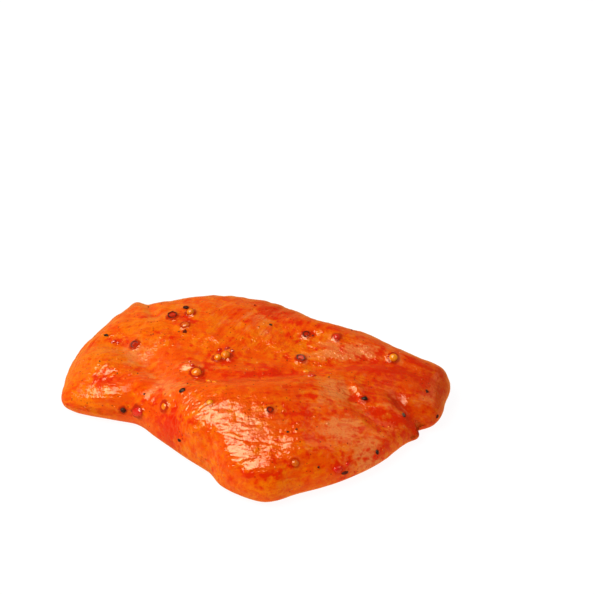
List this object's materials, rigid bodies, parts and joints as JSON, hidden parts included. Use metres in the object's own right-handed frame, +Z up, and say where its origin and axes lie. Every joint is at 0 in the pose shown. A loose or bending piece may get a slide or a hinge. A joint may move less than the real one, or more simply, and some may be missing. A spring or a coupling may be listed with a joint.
{
  "type": "marinated chicken steak",
  "caption": "Raw boneless chicken breast steak lying flat in a wet orange marinade with mustard seeds, cracked pepper and chili.",
  "frame": {"origin": "on the table, under the middle of the steak's bounding box", "axes": "+X along the steak's length to its narrow tip, -Y towards the thick front muscle, +Z up through its thickness"},
  "size_m": [0.1534, 0.1118, 0.0269],
  "materials": {
    "marinated_meat": "wet, glossy orange marinade over raw meat",
    "mustard_seed": "glossy ochre seed coat",
    "cracked_pepper": "wet black to dark red peppercorn pieces",
    "chili": "wet bright red chili flesh"
  },
  "bodies": {
    "root": {"chicken_steak": "marinated_meat"}
  },
  "joints": []
}
